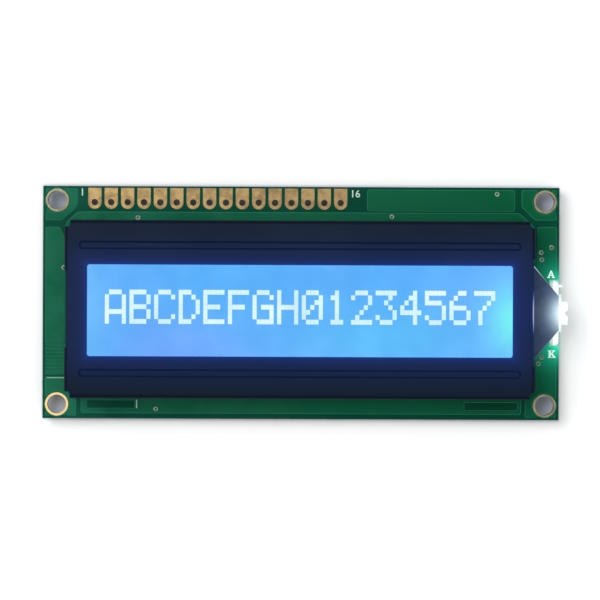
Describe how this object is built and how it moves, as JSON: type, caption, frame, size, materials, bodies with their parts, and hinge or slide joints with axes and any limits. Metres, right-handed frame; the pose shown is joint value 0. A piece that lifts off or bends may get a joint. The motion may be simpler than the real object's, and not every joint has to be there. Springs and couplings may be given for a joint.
{
  "type": "character lcd module",
  "caption": "Character display module on a green board, with a black pressed bezel round a lit blue window, a row of header pads, corner mounting holes and an edge light.",
  "frame": {"origin": "centre of the four mounting holes, on the rear face of the board", "axes": "+X along the line of characters to the edge light, +Y towards the header pads, +Z towards the viewer"},
  "size_m": [0.081, 0.036, 0.0103],
  "materials": {
    "solder_mask": "green solder mask over woven laminate, semi-gloss",
    "silkscreen_ink": "white silkscreen ink, flat",
    "gold_plating": "flash gold over copper, satin",
    "via_plating": "solder-filled plated copper",
    "bezel_paint": "blue-black paint on pressed steel, satin",
    "front_polarizer_film": "stretched film with a hard clear face",
    "rear_polarizer_film": "stretched film",
    "cell_glass": "float glass, ground edges",
    "lit_characters": "clear dots, lit from behind",
    "lit_cell": "liquid crystal, lit sky blue from behind",
    "seal_epoxy": "printed and cured epoxy",
    "fill_glue": "cured clear glue",
    "diffuser_sheet": "milky film",
    "guide_acrylic": "clear acrylic with a printed dot pattern",
    "reflector_sheet": "white film",
    "elastomer": "layered conductive and clear silicone",
    "dark_tape": "slate blue light-blocking tape",
    "led_moulding": "white moulded plastic, lit from inside",
    "led_gel": "phosphor gel",
    "tinned_lead": "tinned copper",
    "solder_metal": "solidified solder, bright",
    "silicon": "sawn silicon",
    "potting_epoxy": "black potting, low gloss",
    "resistor_ceramic": "black glazed ceramic",
    "capacitor_ceramic": "fired ceramic"
  },
  "bodies": {
    "root": {"printed_board": "solder_mask", "header_pads": "gold_plating", "mounting_rings": "gold_plating", "backlight_pads": "gold_plating", "vias": "via_plating", "contact_fingers": "gold_plating", "bezel": "bezel_paint", "front_polarizer": "front_polarizer_film", "front_glass": "cell_glass", "character_fields": "lit_characters", "liquid_crystal": "lit_cell", "cell_seal": "seal_epoxy", "fill_plug": "fill_glue", "rear_glass": "cell_glass", "rear_polarizer": "rear_polarizer_film", "diffuser_film": "diffuser_sheet", "light_guide": "guide_acrylic", "reflector_film": "reflector_sheet", "upper_strip": "elastomer", "lower_strip": "elastomer", "guide_tape": "dark_tape", "led_housing": "led_moulding", "led_lens": "led_gel", "led_leads": "tinned_lead", "led_solder": "solder_metal", "controller_die": "silicon", "controller_dome": "potting_epoxy", "driver_die": "silicon", "driver_dome": "potting_epoxy", "resistor_bodies": "resistor_ceramic", "resistor_ends": "tinned_lead", "capacitor_bodies": "capacitor_ceramic", "capacitor_ends": "tinned_lead", "component_pads": "gold_plating"}
  },
  "joints": []
}
